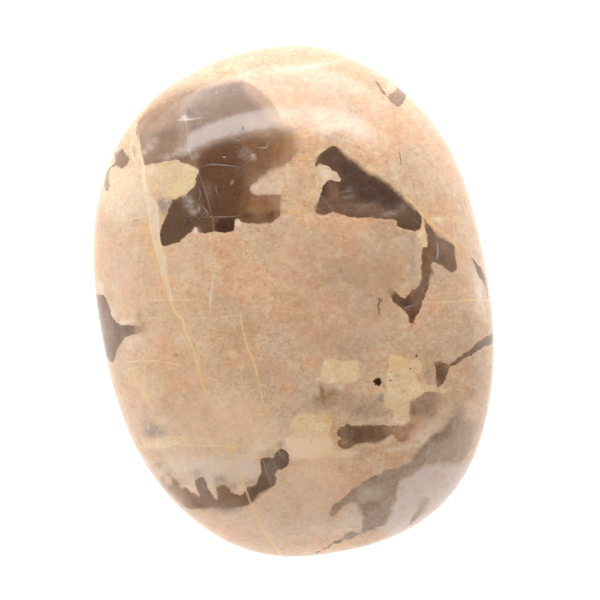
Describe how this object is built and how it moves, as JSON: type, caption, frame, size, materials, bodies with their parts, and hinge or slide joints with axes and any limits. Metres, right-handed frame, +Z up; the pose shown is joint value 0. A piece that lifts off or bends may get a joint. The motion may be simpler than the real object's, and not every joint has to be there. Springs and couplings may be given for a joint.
{
  "type": "feldspar pebble",
  "caption": "Flat oval polished stone of pinkish beige feldspar with smoky quartz patches and thin ochre veins, domed on both faces, with a small flat spot underneath to rest on.",
  "frame": {"origin": "middle of the stone's footprint, at the level of the flat spot on its underside", "axes": "+Z up out of the stone's broad face, +Y along its length, +X across it"},
  "size_m": [0.0522, 0.0684, 0.0256],
  "materials": {
    "polished_feldspar": "polished by tumbling or on a wheel, glossy, pinkish beige with grey-brown smoky quartz"
  },
  "bodies": {
    "root": {"pebble": "polished_feldspar"}
  },
  "joints": []
}
